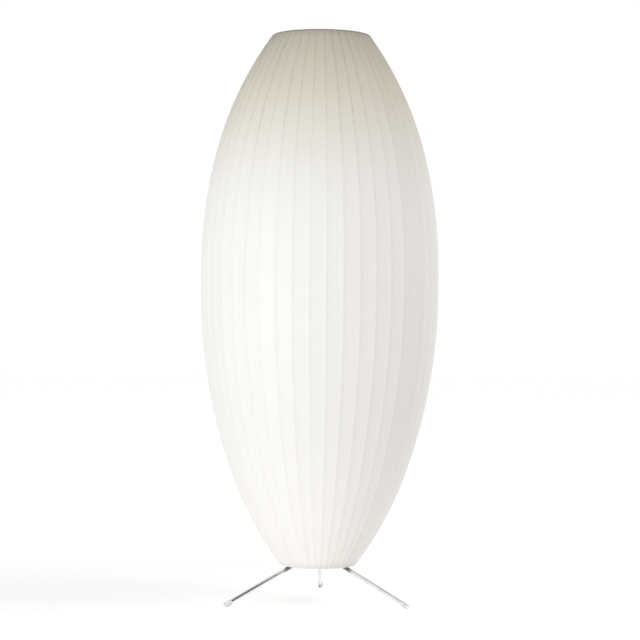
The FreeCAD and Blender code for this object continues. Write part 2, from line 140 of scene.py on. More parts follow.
def smooth_curve(name, points, steps):
    """A curve through the points, smooth when it has more than one step between each two."""
    curve = bpy.data.curves.new(name, "CURVE")
    curve.dimensions = "3D"
    curve.resolution_u = steps
    spline = curve.splines.new("BEZIER")
    spline.bezier_points.add(len(points) - 1)
    for knot, point in zip(spline.bezier_points, points):
        knot.co = point
        knot.handle_left_type = knot.handle_right_type = "AUTO"
    piece = bpy.data.objects.new(name, curve)
    bpy.context.collection.objects.link(piece)
    select_only(piece)
    return piece


def in_space(points, bearing):
    """(radius, height) points as places in space, at a bearing."""
    return [Vector((r * math.cos(bearing), r * math.sin(bearing), z)) for r, z in points]


def arc(centre, radius, start, end, steps):
    """(radius, height) points on an arc, with its angles in degrees above level."""
    turns = [math.radians(start + (end - start) * k / steps) for k in range(steps + 1)]
    return [(centre[0] + radius * math.cos(t), centre[1] + radius * math.sin(t)) for t in turns]


touching = 0.01 * MM


def spin_round(piece, steps):
    """Spins all of a piece's mesh once round the lamp's axis and closes the seam."""
    edit_all(piece)
    bpy.ops.mesh.spin(steps=steps, angle=math.tau, center=(0, 0, 0), axis=(0, 0, 1))
    bpy.ops.mesh.select_all(action="SELECT")
    bpy.ops.mesh.remove_doubles(threshold=touching)
    bpy.ops.mesh.normals_make_consistent(inside=False)
    bpy.ops.object.mode_set(mode="OBJECT")


rib_count = 45
panel_turn = math.tau / rib_count
top_roll_end = 165
bottom_roll_start = -150
top_hem = arc(top_hoop, hem_radius, 90, top_roll_end, 4)[1:]
bottom_hem = arc(bottom_hoop, hem_radius, bottom_roll_start, -90, 3)[:-1]
skin = smooth_curve("shade_film", in_space(bottom_hem + skin_line + top_hem, rib_bearing), 2)
bpy.ops.object.convert(target="MESH")
spin_round(skin, steps=rib_count)
print("flat panels:", len(skin.data.polygons), "faces")


# %% Cut the panels into strips and bevel the rib edges
def off_rib(point):
    """How far a point lies from the nearest rib, as a share of a panel, from 0 to a half."""
    turns = (bearing_of(point) - rib_bearing) / panel_turn
    return abs(turns - round(turns))


def select_nothing(mesh, points=False, edges=False):
    """Clears a mesh's selection, and says whether points or edges are picked next."""
    bpy.context.tool_settings.mesh_select_mode = (points, edges, False)
    for part in (mesh.vertices, mesh.edges, mesh.polygons):
        part.foreach_set("select", [False] * len(part))


def select_edges(piece, wanted):
    """Leaves the piece in edit mode with only the wanted edges selected."""
    mesh = piece.data
    select_nothing(mesh, edges=True)
    for edge in mesh.edges:
        edge.select = wanted(*(mesh.vertices[i].co for i in edge.vertices))
    bpy.ops.object.mode_set(mode="EDIT")


strips = 4
crest_half_width = 0.9 * MM
select_edges(skin, lambda a, b: abs(bearing_of(a) - bearing_of(b)) > panel_turn / 2)
bpy.ops.mesh.subdivide(number_cuts=strips - 1)
bpy.ops.object.mode_set(mode="OBJECT")
on_rib = 1e-3
select_edges(skin, lambda a, b: off_rib(a) < on_rib and off_rib(b) < on_rib)
bpy.ops.mesh.bevel(offset=crest_half_width, segments=2, affect="EDGES")
bpy.ops.object.mode_set(mode="OBJECT")
print("strips:", len(skin.data.polygons), "faces")

# %% Draw the panels in between the crests
crest_height = 0.25 * MM
hollow = 0.5 * MM


def draw_in(piece, wanted, depth):
    """Draws the wanted points towards the axis, by a depth that is measured at the belly."""
    select_nothing(piece.data, points=True)
    for point in piece.data.vertices:
        point.select = wanted(off_rib(point.co) * strips)
    bpy.ops.object.mode_set(mode="EDIT")
    share = 1 - depth / belly_radius
    bpy.ops.transform.resize(value=(share, share, 1), center_override=(0, 0, 0))
    bpy.ops.object.mode_set(mode="OBJECT")


def on_strip(share, line):
    return abs(share - line) < strips * on_rib


draw_in(skin, lambda s: not any(on_strip(s, k) for k in range(strips)), crest_height)
for line in range(1, strips // 2 + 1):
    bow = 1 - (1 - 2 * line / strips) ** 2
    draw_in(skin, lambda s: on_strip(s, line), crest_height + hollow * bow)

skin_thickness = 0.7 * MM


def add_wall(piece, thickness, inner_slot=0):
    """Gives a sheet a thickness inwards. Its inner side may take another of its material slots."""
    wall = piece.modifiers.new("wall", "SOLIDIFY")
    wall.thickness = thickness
    wall.offset = -1
    wall.material_offset = inner_slot
    select_only(piece)
    bpy.ops.object.modifier_apply(modifier=wall.name)


outer_slot, inner_slot = 0, 1
for slot in (outer_slot, inner_slot):
    skin.data.materials.append(None)
add_wall(skin, skin_thickness, inner_slot)
bpy.ops.object.shade_smooth_by_angle(angle=math.radians(40))
made_here = []


def stands_for(piece, node, slot):
    """Hides the CAD node that a piece stands for, and notes which finish the piece takes."""
    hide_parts(node)
    made_here.append((piece, slot))


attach(skin, "stand")
stands_for(skin, "shade_skin", "skin")
print("skin:", len(skin.data.polygons), "faces")

# %% [markdown]
# ## The rib wires
# Each rib is a round wire that follows the inside of the skin from hoop to hoop. A circle could be
# extruded along it step by step. A curve with a round bevel makes the same wire at once, and a spin that
# copies instead of joining sets out the rest.

# %% Bend one wire and copy it round
wire_radius = 0.8 * MM
widest_rib = max(v.co.xy.length for v in frame["nodes"]["shade_ribs"].data.vertices)
wire_depth = belly_radius - widest_rib + wire_radius


def on_hem(point, hoop):
    return abs(math.dist(point, hoop) - hem_radius) < touching


def inside(line, depth):
    """The points of a line, each moved inwards at right angles to the way between its neighbours."""
    moved = []
    for k, here in enumerate(line):
        along = Vector(line[min(k + 1, len(line) - 1)]) - Vector(line[max(k - 1, 0)])
        inwards = Vector((-along.y, along.x)).normalized()
        moved.append(tuple(Vector(here) + depth * inwards))
    return moved


first = max(k for k, p in enumerate(skin_line) if on_hem(p, bottom_hoop))
last = min(k for k, p in enumerate(skin_line) if on_hem(p, top_hoop))
wire_line = inside(skin_line[first:last + 1], wire_depth)
wires = smooth_curve("rib_wires", in_space(wire_line, rib_bearing), 2)
wires.data.bevel_depth = wire_radius
wires.data.bevel_resolution = 2
wires.data.use_fill_caps = True
bpy.ops.object.convert(target="MESH")
edit_all(wires)
bpy.ops.mesh.remove_doubles(threshold=touching)
bpy.ops.mesh.spin(steps=rib_count - 1, dupli=True, angle=math.tau - panel_turn, center=(0, 0, 0),
                  axis=(0, 0, 1))
bpy.ops.mesh.select_all(action="SELECT")
bpy.ops.mesh.normals_make_consistent(inside=False)
bpy.ops.object.mode_set(mode="OBJECT")
bpy.ops.object.shade_smooth_by_angle(angle=math.radians(60))
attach(wires, "stand")
stands_for(wires, "shade_ribs", "wire")
print("wires:", rib_count, "with", len(wires.data.polygons), "faces")

# %% [markdown]
# ## The two hoops
# A hoop of round bar closes the cage at each end, and the wires end on it. A torus primitive would do,
# but a circle of the bar's section, stood on edge at the hoop's radius and spun round, shows how the ring
# is made.

# %% Turn the hoops
bar_radius = 2 * MM


def turn_hoop(name, node, middle):
    """Makes a hoop whose bar has its middle at a (radius, height)."""
    bpy.ops.object.select_all(action="DESELECT")
    bpy.ops.mesh.primitive_circle_add(vertices=16, radius=bar_radius, location=(middle[0], 0, middle[1]),
                                      rotation=(math.pi / 2, 0, 0))
    hoop = bpy.context.object
    hoop.name = name
    bpy.ops.object.transform_apply()
    spin_round(hoop, steps=120)
    bpy.ops.object.shade_smooth()
    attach(hoop, "stand")
    stands_for(hoop, node, "wire")
    print(name, "radius", round(middle[0], 4), "at height", round(middle[1], 4))


turn_hoop("top_hoop", "top_ring", top_hoop)
turn_hoop("bottom_hoop", "bottom_ring", bottom_hoop)

# %% [markdown]
# ## The foot tips
# Each rod ends in a small moulded cup with a soft lip and a round nose, worn flat where it meets the
# floor. A cylinder with bevelled ends would be near it, but lip and nose are rounded differently. So the
# cup's outline is drawn upright, spun, leaned to the rod's own axis and then cut off level at the floor.

# %% Find the rods' axes
def points_of(node):
    """A node's points, each once, as rows of x, y and z."""
    return np.array(sorted({tuple(np.round(v.co, 7)) for v in frame["nodes"][node].data.vertices}))


def axis_of(points):
    """The middle of a long turned piece, and its direction, pointing down."""
    middle = points.mean(axis=0)
    direction = np.linalg.svd(points - middle)[2][0]
    return middle, direction * -np.sign(direction[2])


def reach_along(points, middle, direction):
    """The nearest and furthest of the points along an axis, and the furthest from it."""
    along = (points - middle) @ direction
    across = np.linalg.norm(points - middle - np.outer(along, direction), axis=1)
    return along.min(), along.max(), across.max()


rod_way = axis_of(points_of("leg_right"))[1]
print("rod slope:", round(math.degrees(math.asin(-rod_way[2])), 2), "degrees")


# %% Turn a cup for each rod
lip_round = 0.6 * MM
cup_gap = 0.15 * MM
nose_share = 0.8
exact_cut = 0.001 * MM


def cup_outline(top, nose, rod_end, rod_radius, cup_radius):
    """(radius, distance) points from the bottom of the rod's hole, over the lip and round the nose."""
    hole = rod_radius + cup_gap
    lip = (hole + cup_radius) / 2, top + lip_round
    lip_width = (cup_radius - hole) / 2
    turns = [math.radians(t) for t in range(180, -1, -30)]
    over_lip = [(lip[0] + lip_width * math.cos(t), lip[1] - lip_round * math.sin(t)) for t in turns]
    nose_round = nose_share * cup_radius
    round_nose = arc((cup_radius - nose_round, nose - nose_round), nose_round, 0, 90, 6)
    return [(0, rod_end + cup_gap), (hole, rod_end + cup_gap)] + over_lip + round_nose + [(0, nose)]


def cut_level(piece, height):
    """Cuts off all that lies below a height, and closes the cut."""
    edit_all(piece)
    bpy.ops.mesh.bisect(plane_co=(0, 0, height), plane_no=(0, 0, 1), clear_inner=True, use_fill=True,
                        threshold=exact_cut)
    bpy.ops.object.mode_set(mode="OBJECT")


def turn_cup(side):
    """Makes the cup at the end of one rod, from the sizes of its CAD rod and tip."""
    middle, way = axis_of(points_of("leg_" + side))
    rod_end, rod_radius = reach_along(points_of("leg_" + side), middle, way)[1:]
    top, nose, cup_radius = reach_along(points_of("foot_tip_" + side), middle, way)
    outline = cup_outline(top, nose, rod_end, rod_radius, cup_radius)
    cup = smooth_curve("foot_cup_" + side, [Vector((r, 0, s)) for r, s in outline], 1)
    bpy.ops.object.convert(target="MESH")
    spin_round(cup, steps=40)
    cup.rotation_euler = Vector(way).to_track_quat("Z", "Y").to_euler()
    cup.location = middle
    bpy.ops.object.transform_apply()
    cut_level(cup, 0)
    bpy.ops.object.shade_smooth_by_angle(angle=math.radians(35))
    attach(cup, "stand")
    stands_for(cup, "foot_tip_" + side, "tip")
    print(cup.name, "radius", round(cup_radius, 5), "length", round(nose - top, 4))


for side in ("right", "left", "rear"):
    turn_cup(side)

# %% [markdown]
# ## The leaf spring
# Deep in the socket a thin brass leaf, arched like a bridge, presses the centre contact up to the bulb.
# It is the one piece that changes its shape: its feet stay on the ceramic, and its crown follows the
# contact. The CAD leaf can't do that, because a CAD node belongs to one body. A flat strip could be bent,
# but a line across the leaf, spun along the arch, gives the curve exactly. It then gets its thickness, is
# cut level at the feet and bored for the contact's stem.

# %% Spin the leaf along its arch
leaf_thickness = 0.4 * MM
leaf_low, leaf_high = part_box("contact_spring")
half_span = (leaf_high.x - leaf_low.x) / 2
rise = leaf_high.z - leaf_low.z
arch_radius = (half_span ** 2 + rise ** 2) / (2 * rise)
arch_turn = 2 * math.asin(half_span / arch_radius)
leaf_foot = [Vector((leaf_low.x, y, leaf_low.z)) for y in (leaf_low.y, 0, leaf_high.y)]
leaf = smooth_curve("contact_leaf", leaf_foot, 2)
bpy.ops.object.convert(target="MESH")
edit_all(leaf)
bpy.ops.mesh.spin(steps=24, angle=-arch_turn, center=(0, 0, leaf_high.z - arch_radius), axis=(0, 1, 0))
bpy.ops.mesh.select_all(action="SELECT")
bpy.ops.mesh.normals_make_consistent(inside=False)
bpy.ops.object.mode_set(mode="OBJECT")
add_wall(leaf, leaf_thickness)
cut_level(leaf, leaf_low.z)
print("leaf span", round(2 * half_span, 5), "rise", round(rise, 5))

# %% Bore it for the contact's stem
stem_hole = min(v.co.xy.length for v in frame["nodes"]["contact_spring"].data.vertices)
bpy.ops.object.select_all(action="DESELECT")
bpy.ops.mesh.primitive_cylinder_add(vertices=32, radius=stem_hole, depth=2 * rise,
                                    location=(0, 0, leaf_high.z))
drill = bpy.context.object
bore = leaf.modifiers.new("bore", "BOOLEAN")
bore.object = drill
select_only(leaf)
bpy.ops.object.modifier_apply(modifier=bore.name)
bpy.data.objects.remove(drill)
edit_all(leaf)
bpy.ops.mesh.remove_doubles(threshold=touching)
bpy.ops.object.mode_set(mode="OBJECT")
bpy.ops.object.shade_smooth_by_angle(angle=math.radians(35))
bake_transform(leaf)
stands_for(leaf, "contact_spring", "contact_brass")
print("leaf:", len(leaf.data.polygons), "faces")

# %% [markdown]
# ## The bulb's screw cap
# The cap is a thin metal cup with a thread rolled into its side, which fades out at the shoulder and
# below a plain band at the top. A Screw modifier could make the thread, but not its soft ends. So the cup
# is spun with many rows, and its points are pressed in along a groove that climbs one pitch a turn.

# %% Spin a cup with many rows
cap_wall = 0.35 * MM
shoulder_height = 2 * MM
plain_band = 7.5 * MM
climb = frame["record"]["behaviour"]["couplings"][0]
pitch = climb["ratio"] * math.tau
cap_low, cap_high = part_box("bulb_screw_cap")
cap_radius = cap_high.x
base_radius = max(v.co.xy.length for v in frame["nodes"]["bulb_screw_cap"].data.vertices
                  if v.co.z < cap_low.z + touching)
rows = 70
row_heights = np.linspace(cap_low.z + shoulder_height, cap_high.z, rows)
cap_outline = [(0, cap_low.z), (base_radius, cap_low.z)] + [(cap_radius, z) for z in row_heights]
cap = smooth_curve("threaded_cap", in_space(cap_outline, 0), 1)
bpy.ops.object.convert(target="MESH")
spin_round(cap, steps=48)
print("cap:", len(cap.data.polygons), "faces, pitch", round(pitch, 6))

# %% Press the thread in
groove_depth = 0.75 * MM
thread_foot = cap_low.z + shoulder_height
thread_top = cap_high.z - plain_band
for point in cap.data.vertices:
    groove = 0.5 - 0.5 * math.cos(math.tau * point.co.z / pitch - bearing_of(point.co))
    to_end = min(point.co.z - thread_foot, thread_top - point.co.z)
    fade = min(max(to_end / (pitch / 2), 0), 1)
    share = 1 - groove_depth / cap_radius * groove * fade
    point.co.x *= share
    point.co.y *= share
add_wall(cap, cap_wall)
bpy.ops.object.shade_smooth_by_angle(angle=math.radians(40))
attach(cap, "bulb")
stands_for(cap, "bulb_screw_cap", "bulb_metal")
print("cap with its wall:", len(cap.data.polygons), "faces")

# %% [markdown]
# ## Finishes: the tools
# A finish is a small tree of nodes. These helpers add a node, feed its sockets with a plain value or with
# another node's output, and do sums, ramps and mixes, so that each finish below reads as a short recipe.

# %% Helpers for node trees
def add(tree, kind, **settings):
    made = tree.nodes.new("ShaderNode" + kind)
    for name, value in settings.items():
        setattr(made, name, value)
    return made


def feed(tree, socket, value):
    """Links a socket to another node's output, or sets it to a plain value."""
    if isinstance(value, bpy.types.NodeSocket):
        tree.links.new(value, socket)
    else:
        socket.default_value = value


def sums(tree, operation, *values):
    made = add(tree, "Math", operation=operation)
    for socket, value in zip(made.inputs, values):
        feed(tree, socket, value)
    return made.outputs[0]


def ramp(tree, value, start, end, low=0.0, high=1.0, kind="SMOOTHSTEP"):
    """Goes from low to high while the value goes from start to end."""
    made = add(tree, "MapRange", interpolation_type=kind)
    for socket, number in zip(made.inputs, (value, start, end, low, high)):
        feed(tree, socket, number)
    return made.outputs[0]


def mix(tree, share, first, second):
    """A colour between two others. The Mix node has other sockets for numbers and for vectors."""
    colour_sockets = (0, 6, 7)
    colour_output = 2
    made = add(tree, "Mix", data_type="RGBA")
    for index, value in zip(colour_sockets, (share, first, second)):
        feed(tree, made.inputs[index], value)
    return made.outputs[colour_output]


def noise(tree, place, scale, detail=3.0, roughness=0.55):
    made = add(tree, "TexNoise")
    for name, value in (("Vector", place), ("Scale", scale), ("Detail", detail), ("Roughness", roughness)):
        feed(tree, made.inputs[name], value)
    return made.outputs["Fac"]


def from_axis(tree, place):
    """How far a place lies from the lamp's upright axis."""
    level = add(tree, "VectorMath", operation="MULTIPLY")
    feed(tree, level.inputs[0], place)
    feed(tree, level.inputs[1], (1, 1, 0))
    length = add(tree, "VectorMath", operation="LENGTH")
    feed(tree, length.inputs[0], level.outputs[0])
    return length.outputs["Value"]


def colour(red, green, blue):
    return (red, green, blue, 1.0)


def new_finish(name):
    """A new material, its node tree and its shader."""
    finish = bpy.data.materials.new(name)
    finish.use_nodes = True
    return finish, finish.node_tree, finish.node_tree.nodes["Principled BSDF"]


def raise_surface(tree, shader, height, depth):
    """Lets a height, from 0 to 1, stand up by a depth in metres."""
    bump = add(tree, "Bump")
    feed(tree, bump.inputs["Height"], height)
    feed(tree, bump.inputs["Distance"], depth)
    feed(tree, shader.inputs["Normal"], bump.outputs["Normal"])


print("node helpers ready")

# %% [markdown]
# ## The sprayed film
# The film is an off-white plastic. Towards the top its colour is yellower and a little darker: partly its
# own cream tone, partly painted shade where less of the glow reaches. Just below the rim it is painted
# darker still. Each wire shows as a thin grey line, broken here and there, which is painted shade: the
# wire's shadow in the film. Each panel has its own slight tone, short threads of the spray lie across the
# panels, and near both ends fine pleats are painted in as darker streaks of shade. The rolled rim is
# painted dark, and the foot carries a painted shadow of the bottom hoop. The lit bulb stands low, so the
# film glows up to its shoulder, and less on its inside. An image could hold all this, but it is quite
# regular, so it is worked out from each point's place.

# %% Where a point lies on the shade
film, tree, shader = new_finish("sprayed_film")
place = add(tree, "TexCoord").outputs["Object"]
apart = add(tree, "SeparateXYZ")
feed(tree, apart.inputs[0], place)
east, north, height = apart.outputs
bearing = sums(tree, "SUBTRACT", sums(tree, "ARCTAN2", north, east), rib_bearing)
turns = sums(tree, "DIVIDE", bearing, panel_turn)
nearest_rib = sums(tree, "ROUND", turns)
off_line = sums(tree, "SUBTRACT", turns, nearest_rib)
radius = from_axis(tree, place)
beside = sums(tree, "MULTIPLY", sums(tree, "MULTIPLY", off_line, panel_turn), radius)
panel = sums(tree, "FLOOR", turns)
print("film reads bearings from", round(math.degrees(rib_bearing), 2), "degrees in", rib_count, "panels")

# %% Rib lines: a painted shadow of each wire, broken and a little unsteady
line_half_width = 2.6 * MM
line_sway = 0.6 * MM
line_patch = 14 * MM
bead = 3.2 * MM
rib_stride = 7.3


def along_ribs(row, patch):
    """A place for noise that differs from rib to rib and changes along each over the length of a patch."""
    spot = add(tree, "CombineXYZ")
    feed(tree, spot.inputs["X"], sums(tree, "MULTIPLY", nearest_rib, rib_stride))
    feed(tree, spot.inputs["Y"], row)
    feed(tree, spot.inputs["Z"], sums(tree, "DIVIDE", height, patch))
    return spot.outputs[0]


wander = noise(tree, along_ribs(5.0, 3 * line_patch), 1.0)
sway = ramp(tree, wander, 0.2, 0.8, -line_sway, line_sway, "LINEAR")
from_line = sums(tree, "ABSOLUTE", sums(tree, "SUBTRACT", beside, sway))
line = ramp(tree, from_line, 0.2 * MM, line_half_width, 1.0, 0.0)
broken = ramp(tree, noise(tree, along_ribs(0.0, line_patch), 1.0, 4.0, 0.7), 0.34, 0.62, 0.35, 1.0)
beads = ramp(tree, noise(tree, along_ribs(11.0, bead), 1.0, 2.0), 0.35, 0.65, 0.55, 1.0)
rib_tone = add(tree, "TexWhiteNoise", noise_dimensions="1D")
feed(tree, rib_tone.inputs["W"], nearest_rib)
line = sums(tree, "MULTIPLY", sums(tree, "MULTIPLY", line, broken),
            sums(tree, "MULTIPLY", beads, ramp(tree, rib_tone.outputs["Value"], 0.0, 1.0, 0.55, 1.0)))
print("line width", line_half_width * 2)

# %% Panel tones, spray threads and painted pleat shade
threads_per_panel = 1.6
threads_per_metre = 420.0
streaks_per_panel = 4.5
streaks_per_metre = 14.0
panel_stride = 3.7
panel_tone = add(tree, "TexWhiteNoise", noise_dimensions="1D")
feed(tree, panel_tone.inputs["W"], panel)

across = add(tree, "CombineXYZ")
feed(tree, across.inputs["X"], sums(tree, "MULTIPLY", turns, threads_per_panel))
feed(tree, across.inputs["Y"], sums(tree, "MULTIPLY", panel, panel_stride))
feed(tree, across.inputs["Z"], sums(tree, "MULTIPLY", height, threads_per_metre))
threads = ramp(tree, noise(tree, across.outputs[0], 1.0, 3.0, 0.6), 0.56, 0.68)
web = noise(tree, place, 320.0, 4.0, 0.6)

# Painted shade: fine pleats near both ends, as darker streaks.
streak = add(tree, "CombineXYZ")
feed(tree, streak.inputs["X"], sums(tree, "MULTIPLY", turns, streaks_per_panel))
feed(tree, streak.inputs["Y"], sums(tree, "MULTIPLY", height, streaks_per_metre))
streaks = ramp(tree, noise(tree, streak.outputs[0], 1.0, 2.0), 0.50, 0.64)
near_foot = ramp(tree, height, 0.16, 0.07)
near_top = ramp(tree, height, 0.895, 0.93)
near_ends = sums(tree, "MAXIMUM", near_foot, near_top)
pleat_shade = sums(tree, "MULTIPLY", streaks, near_ends)
print("threads per metre:", threads_per_metre)

# %% The rim, the painted darkening below it, and the hem's painted shade
film_top = skin_line[-1][1]
film_foot = skin_line[0][1]
outer_side = ramp(tree, radius, top_hoop[0] - 0.4 * MM, top_hoop[0] + 0.6 * MM)
rim = sums(tree, "MULTIPLY", ramp(tree, height, film_top - 3.0 * MM, film_top - 1.4 * MM), outer_side)
hem_shade = ramp(tree, height, film_foot + 15 * MM, film_foot + 1 * MM)
darker_below_rim = ramp(tree, height, film_top - 16 * MM, film_top)
print("film from", round(film_foot, 4), "to", round(film_top, 4))

# %% Colour of the film
def towards(share, strength, tint):
    """Takes the film's colour some way towards a tint, where a mask says so."""
    return mix(tree, sums(tree, "MULTIPLY", share, strength), film_colour, tint)


yellow_from = 0.66
yellow_full = 0.90
toward_top = ramp(tree, height, yellow_from, yellow_full)
# Towards the top the film's colour is yellower and a little darker: partly its own cream tone, partly
# painted shade where less glow reaches.
film_colour = mix(tree, toward_top, colour(0.85, 0.85, 0.825), colour(0.80, 0.745, 0.60))
film_colour = towards(panel_tone.outputs["Value"], 0.10, colour(0.70, 0.66, 0.57))
film_colour = towards(threads, 0.18, colour(0.62, 0.60, 0.53))
film_colour = towards(pleat_shade, 0.16, colour(0.45, 0.43, 0.38))
# Painted shade: each wire's shadow in the film shows as a grey line, stronger towards the top.
film_colour = towards(line, ramp(tree, height, 0.55, 0.92, 0.28, 0.56), colour(0.42, 0.40, 0.35))
# Painted shade near the foot: the bottom hoop's shadow through the film, darker towards the lower edge.
film_colour = towards(hem_shade, 0.26, colour(0.55, 0.53, 0.48))
# Painted darker just below the rim.
film_colour = towards(darker_below_rim, 0.36, colour(0.48, 0.43, 0.32))
# The rolled rim is painted dark on its outer upper side.
film_colour = towards(rim, 0.9, colour(0.26, 0.24, 0.195))
feed(tree, shader.inputs["Base Color"], film_colour)
print("film colour made with", len(tree.nodes), "nodes so far")

# %% Glow and relief of the film
shoulder = 0.58
from_top = ramp(tree, height, film_top, shoulder, kind="LINEAR")
lit = sums(tree, "SUBTRACT", 1.0, sums(tree, "POWER", sums(tree, "SUBTRACT", 1.0, from_top), 1.9))
lit = sums(tree, "MULTIPLY", lit, ramp(tree, height, 0.35, 0.08, 0.84, 1.0))
lit = sums(tree, "MULTIPLY", lit, sums(tree, "SUBTRACT", 1.0, sums(tree, "MULTIPLY", line, 0.06)))
lit = sums(tree, "MULTIPLY", lit, sums(tree, "SUBTRACT", 1.0, sums(tree, "MULTIPLY", hem_shade, 0.15)))
glow = mix(tree, toward_top, colour(1.0, 0.95, 0.90), colour(1.0, 0.90, 0.76))
feed(tree, shader.inputs["Emission Color"], mix(tree, lit, colour(0, 0, 0), glow))
shader.inputs["Emission Strength"].default_value = 0.375
shader.inputs["Specular IOR Level"].default_value = 0.3

feed(tree, shader.inputs["Roughness"], ramp(tree, web, 0.3, 0.7, 0.42, 0.60))
relief = sums(tree, "ADD", sums(tree, "MULTIPLY", web, 0.6), sums(tree, "MULTIPLY", threads, 0.4))
raise_surface(tree, shader, relief, 0.12 * MM)
inner_film = film.copy()
inner_film.name = "sprayed_film_inside"
inner_film.node_tree.nodes["Principled BSDF"].inputs["Emission Strength"].default_value = 0.19
print("film:", len(tree.nodes), "nodes")

# %% [markdown]
# ## The other finishes
# Paint, plating, brass, card and plastic differ in colour and gloss, but all are a little uneven: broad
# patches of wear or handling, and a fine grain. Each could have a tree of its own. One node group, placed
# in each finish with its own values, keeps them alike and short. Three get something more: the plating
# carries painted shade where the rods leave the lampshade, the foot tips are a frosted clear plastic, and
# the bulb's dome is lit.

# %% The uneven finish, as a group
uneven = bpy.data.node_groups.new("uneven_finish", "ShaderNodeTree")
for name, kind in (("Colour", "Color"), ("Worn colour", "Color"), ("Patches per metre", "Float"),
                   ("Grains per metre", "Float"), ("Smooth", "Float"), ("Rough", "Float")):
    uneven.interface.new_socket(name, in_out="INPUT", socket_type="NodeSocket" + kind)
for name, kind in (("Colour", "Color"), ("Roughness", "Float"), ("Height", "Float")):
    uneven.interface.new_socket(name, in_out="OUTPUT", socket_type="NodeSocket" + kind)
given = uneven.nodes.new("NodeGroupInput")
result = uneven.nodes.new("NodeGroupOutput")
spot = add(uneven, "TexCoord").outputs["Object"]
patches = noise(uneven, spot, given.outputs["Patches per metre"], 5.0, 0.6)
grain = noise(uneven, spot, given.outputs["Grains per metre"], 2.0)
worn = ramp(uneven, sums(uneven, "ADD", patches, sums(uneven, "MULTIPLY", grain, 0.25)), 0.50, 0.78)
tone = mix(uneven, worn, given.outputs["Colour"], given.outputs["Worn colour"])
feed(uneven, result.inputs["Colour"], tone)
gloss = ramp(uneven, worn, 0.0, 1.0, given.outputs["Smooth"], given.outputs["Rough"])
feed(uneven, result.inputs["Roughness"], gloss)
feed(uneven, result.inputs["Height"], grain)
print("group:", uneven.name)


# %% Place it in each finish
def uneven_finish(name, plain, worn, patches, grains, smooth, rough, metal=0.0, grain_depth=0.02 * MM):
    """A finish of two colours and two roughnesses, with so many patches and grains to the metre."""
    finish, tree, shader = new_finish(name)
    group = add(tree, "Group", node_tree=uneven)
    for socket, value in zip(group.inputs, (colour(*plain), colour(*worn), patches, grains, smooth, rough)):
        feed(tree, socket, value)
    feed(tree, shader.inputs["Base Color"], group.outputs["Colour"])
    feed(tree, shader.inputs["Roughness"], group.outputs["Roughness"])
    shader.inputs["Metallic"].default_value = metal
    raise_surface(tree, shader, group.outputs["Height"], grain_depth)
    return finish


finish_of = {
    "skin": film,
    "wire": uneven_finish("white_lacquer", (0.84, 0.83, 0.79), (0.74, 0.72, 0.66), 60, 2500, 0.30, 0.48),
    "chrome": uneven_finish("polished_plating", (0.80, 0.81, 0.82), (0.70, 0.71, 0.72), 45, 3000, 0.05, 0.16,
                            metal=1.0, grain_depth=0.002 * MM),
    "tip": uneven_finish("pale_moulding", (0.98, 0.98, 0.975), (0.95, 0.95, 0.94), 220, 2600, 0.62, 0.75,
                         grain_depth=0.004 * MM),
    "hub": uneven_finish("turned_steel", (0.60, 0.60, 0.59), (0.47, 0.47, 0.46), 120, 3500, 0.24, 0.40,
                         metal=1.0),
    "zinc": uneven_finish("zinc_plating", (0.68, 0.69, 0.68), (0.55, 0.55, 0.52), 160, 3200, 0.28, 0.46,
                          metal=1.0),
    "cover": uneven_finish("cream_lacquer", (0.86, 0.85, 0.81), (0.76, 0.74, 0.68), 40, 2500, 0.28, 0.45),
    "bushing": uneven_finish("black_nylon", (0.055, 0.055, 0.055), (0.11, 0.11, 0.11), 200, 3000,
                             0.45, 0.62),
    "socket_brass": uneven_finish("drawn_brass", (0.72, 0.55, 0.26), (0.50, 0.36, 0.16), 90, 3000,
                                  0.22, 0.42, metal=1.0),
    "sleeve_card": uneven_finish("pressed_card", (0.52, 0.42, 0.29), (0.40, 0.31, 0.20), 150, 1800,
                                 0.80, 0.92, grain_depth=0.08 * MM),
    "core_ceramic": uneven_finish("fired_ceramic", (0.86, 0.85, 0.82), (0.76, 0.74, 0.69), 120, 1800,
                                  0.25, 0.50),
    "contact_brass": uneven_finish("spring_brass", (0.76, 0.60, 0.29), (0.58, 0.43, 0.20), 140, 3000,
                                   0.25, 0.40, metal=1.0),
    "bulb_opal": uneven_finish("opal_dome", (0.92, 0.91, 0.87), (0.86, 0.85, 0.80), 35, 2200, 0.40, 0.52),
    "bulb_white": uneven_finish("white_moulding", (0.88, 0.88, 0.86), (0.80, 0.79, 0.75), 60, 2200,
                                0.30, 0.44),
    "bulb_metal": uneven_finish("bright_cap", (0.76, 0.76, 0.75), (0.62, 0.62, 0.60), 150, 3200,
                                0.18, 0.36, metal=1.0),
    "bulb_black": uneven_finish("black_glass", (0.02, 0.02, 0.022), (0.06, 0.06, 0.06), 180, 3000,
                                0.10, 0.24),
}
print("finishes:", len(finish_of))

# %% Painted shade on the rod ends, frosted tips and the lit dome
shaded_to = 60 * MM
bright_from = 68 * MM
rod_tree = finish_of["chrome"].node_tree
rod_colour = rod_tree.nodes["Principled BSDF"].inputs["Base Color"]
rod_place = add(rod_tree, "TexCoord").outputs["Object"]
# Painted shade: the rods' upper ends are darkened where they pass under the lampshade.
shaded = ramp(rod_tree, from_axis(rod_tree, rod_place), bright_from, shaded_to, 0.0, 0.85)
bright = rod_colour.links[0].from_socket
feed(rod_tree, rod_colour, mix(rod_tree, shaded, bright, colour(0.10, 0.10, 0.095)))

frosted = finish_of["tip"].node_tree.nodes["Principled BSDF"]
frosted.inputs["Transmission Weight"].default_value = 0.85
frosted.inputs["IOR"].default_value = 1.12

dome = finish_of["bulb_opal"].node_tree.nodes["Principled BSDF"]
dome.inputs["Emission Color"].default_value = colour(1.0, 0.90, 0.74)
dome.inputs["Emission Strength"].default_value = 0.4
print("rods dull within", shaded_to, "of the axis")


